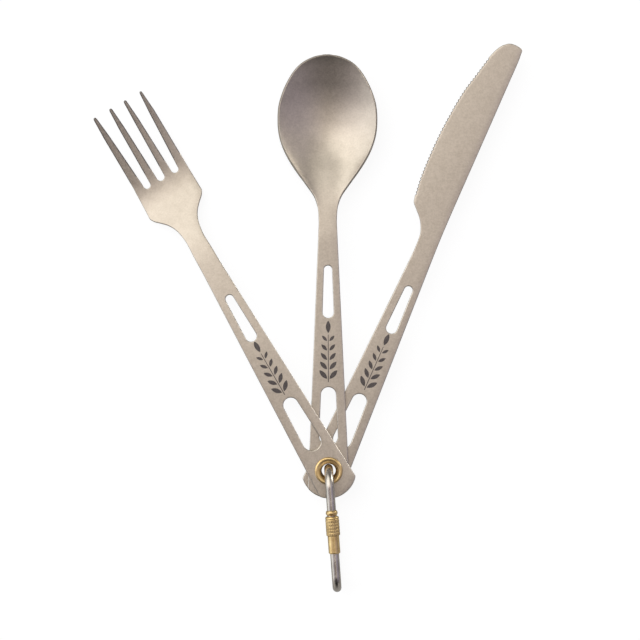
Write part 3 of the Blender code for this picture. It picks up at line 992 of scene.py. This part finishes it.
def make_lock():
    low, high, radius = COLLAR
    length = high - low
    profile = [(WIRE + 0.06, 0.12), (COLLAR_BORE, 0.0)]
    for i in range(13):
        a = math.pi * (0.08 + 0.84 * i / 12)
        profile.append((radius - 0.62 + 0.62 * math.sin(a), length / 2 - length / 2 * math.cos(a)))
    profile += [(COLLAR_BORE, length), (WIRE + 0.06, length - 0.12)]
    bead = turned("collar_bead", profile, 64, on_leg(low), BRASS)
    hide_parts("nose_collar")
    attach(bead, "ring_body")

    low, high, radius = NUT
    length = high - low
    profile = [(NUT_BORE, 0.25), (NUT_BORE + 0.22, 0.0), (radius - 0.75, 0.0)]
    for i in range(1, 9):
        a = math.pi / 2 * i / 9
        profile.append((radius - 0.75 + 0.72 * math.sin(a), 0.62 * (1 - math.cos(a))))
    profile += [(radius, 0.7), (radius, 0.9), (radius - 0.16, 1.0), (radius - 0.16, 1.1)]
    profile += [(radius, h) for h in steps(KNURL_FROM, KNURL_TO, 0.07)]
    profile += [(radius - 0.12, length - 0.05), (radius - 0.2, length), (NUT_BORE + 0.2, length)]
    profile += [(NUT_BORE, length - 0.2)]
    # the knurled band takes the darker brass, painted shade in its grooves
    band = (SHADED_KNURL_BRASS, KNURL_FROM, KNURL_TO, 2.0)
    nut = turned("knurled_nut", profile, 200, on_leg(low), BRASS, knurled, band)
    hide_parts("lock_nut")
    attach(nut, "nut_body")

    low, high, radius = SLEEVE
    length = high - low
    corners = [(NUT_BORE, 0), (radius, 0), (radius, length - SLEEVE_CHAMFER)]
    corners += [(radius - SLEEVE_CHAMFER, length), (NUT_BORE, length)]
    sleeve = turned("smooth_sleeve", closed_rounded(corners, 0.1), 72, on_leg(low), BRASS)
    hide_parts("nut_sleeve")
    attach(sleeve, "sleeve_body")


make_fork()
make_spoon()
make_knife()
make_eyelet()
make_ring()
make_lock()


# ---------------------------------------------------------------- floor, light and camera

# in metres
FLOOR_HALF = 3.0
FLOOR_LOWERED = 0.0001


def make_floor():
    mesh = bpy.data.meshes.new("studio_floor")
    corners = [(x * FLOOR_HALF, y * FLOOR_HALF, 0) for x, y in ((-1, -1), (1, -1), (1, 1), (-1, 1))]
    mesh.from_pydata(corners, [], [(0, 1, 2, 3)])
    mat = bpy.data.materials.new("studio_floor")
    mat.use_nodes = True
    shader = mat.node_tree.nodes["Principled BSDF"]
    shader.inputs["Base Color"].default_value = (0.16, 0.16, 0.16, 1)
    shader.inputs["Roughness"].default_value = 1.0
    shader.inputs["Specular IOR Level"].default_value = 0.0
    shader.inputs["Emission Color"].default_value = (1, 1, 1, 1)
    shader.inputs["Emission Strength"].default_value = 0.9
    mesh.materials.append(mat)
    obj = bpy.data.objects.new("studio_floor", mesh)
    bpy.context.scene.collection.objects.link(obj)
    obj.location.z = -FLOOR_LOWERED
    # the polished parts mirror the dim room, not the lit floor
    obj.visible_glossy = False


# soft lights round the room: direction, half width in degrees, strength and colour
SOFT_LIGHTS = [
    ((0.0, 0.1, 1.0), 31, 1.03, (1.0, 0.94, 0.88)),
    ((-0.1, -0.06, 1.0), 13, -0.85, (1.0, 1.0, 1.0)),
    ((-0.535, 0.46, 0.7), 42, 2.08, (1.0, 1.02, 0.99)),
    ((0.5, 0.5, 0.7), 42, 0.38, (1.0, 1.0, 0.93)),
    ((0.05, 0.62, 0.78), 26, 0.3, (1.0, 0.98, 0.93)),
    ((0.72, 0.0, 0.7), 42, 0.38, (1.0, 0.94, 1.28)),
    ((-0.72, 0.0, 0.7), 42, 0.2, (1.0, 0.76, 1.2)),
    ((-0.97, 0.0, 0.26), 35, 1.1, (0.95, 1.05, 1.08)),
    ((0.86, 0.51, 0.04), 13, 8.5, (1.0, 0.99, 0.95)),
    ((-0.8, -0.58, 0.12), 40, 0.32, (1.0, 1.0, 1.0)),
    ((0.62, -0.74, 0.2), 16, 0.5, (1.0, 1.0, 1.0)),
    ((0.5, -0.5, 0.7), 36, 0.08, (1.0, 0.95, 1.1)),
]
# the room's own dim light, and what the floor adds to it from below
ROOM = 0.015
FLOOR_GLOW = 0.42


def make_light():
    world = bpy.data.worlds.new("studio")
    bpy.context.scene.world = world
    world.use_nodes = True
    nodes, links = world.node_tree.nodes, world.node_tree.links
    coords = nodes.new("ShaderNodeTexCoord")
    total = None
    for direction, width, strength, colour in SOFT_LIGHTS:
        facing = nodes.new("ShaderNodeVectorMath")
        facing.operation = "DOT_PRODUCT"
        links.new(coords.outputs["Generated"], facing.inputs[0])
        facing.inputs[1].default_value = Vector(direction).normalized()
        level = nodes.new("ShaderNodeMapRange")
        level.interpolation_type = "SMOOTHSTEP"
        level.inputs["From Min"].default_value = math.cos(math.radians(width))
        level.inputs["From Max"].default_value = 1.0
        links.new(facing.outputs["Value"], level.inputs["Value"])
        tinted = nodes.new("ShaderNodeVectorMath")
        tinted.operation = "SCALE"
        tinted.inputs[0].default_value = [c * strength for c in colour]
        links.new(level.outputs["Result"], tinted.inputs["Scale"])
        summed = nodes.new("ShaderNodeVectorMath")
        if total is None:
            summed.inputs[0].default_value = (ROOM, ROOM, ROOM)
        else:
            links.new(total, summed.inputs[0])
        links.new(tinted.outputs["Vector"], summed.inputs[1])
        total = summed.outputs["Vector"]
    # from below comes the floor's own glow, which the polished parts mirror as an even grey
    height = nodes.new("ShaderNodeSeparateXYZ")
    links.new(coords.outputs["Generated"], height.inputs[0])
    glow = map_range(nodes, links, height.outputs["Z"], 0.4, -0.15, 0.0, FLOOR_GLOW)
    lit = nodes.new("ShaderNodeVectorMath")
    links.new(total, lit.inputs[0])
    links.new(glow, lit.inputs[1])
    links.new(lit.outputs["Vector"], nodes["Background"].inputs["Color"])


# the camera looks straight down; at VIEW_HEIGHT, the sheets' height, it sees VIEW_WIDTH from side to side
VIEW_WIDTH = 238.4
VIEW_HEIGHT = 9
# from the pivot to the middle of the view
VIEW_OFFSET = (-3.24075, 56.0985)
CAMERA_DISTANCE = 0.62
SENSOR = 36.0


def make_camera():
    data = bpy.data.cameras.new("camera")
    data.sensor_width = SENSOR
    data.lens = SENSOR * CAMERA_DISTANCE / (VIEW_WIDTH * MM)
    data.clip_start = 0.01
    obj = bpy.data.objects.new("camera", data)
    bpy.context.scene.collection.objects.link(obj)
    middle = [(p + offset) * MM for p, offset in zip(PIVOT, VIEW_OFFSET)]
    obj.location = (*middle, VIEW_HEIGHT * MM + CAMERA_DISTANCE)
    obj.rotation_euler = (0, 0, 0)
    bpy.context.scene.camera = obj


make_floor()
make_light()
make_camera()
bpy.context.scene.view_settings.view_transform = "Standard"
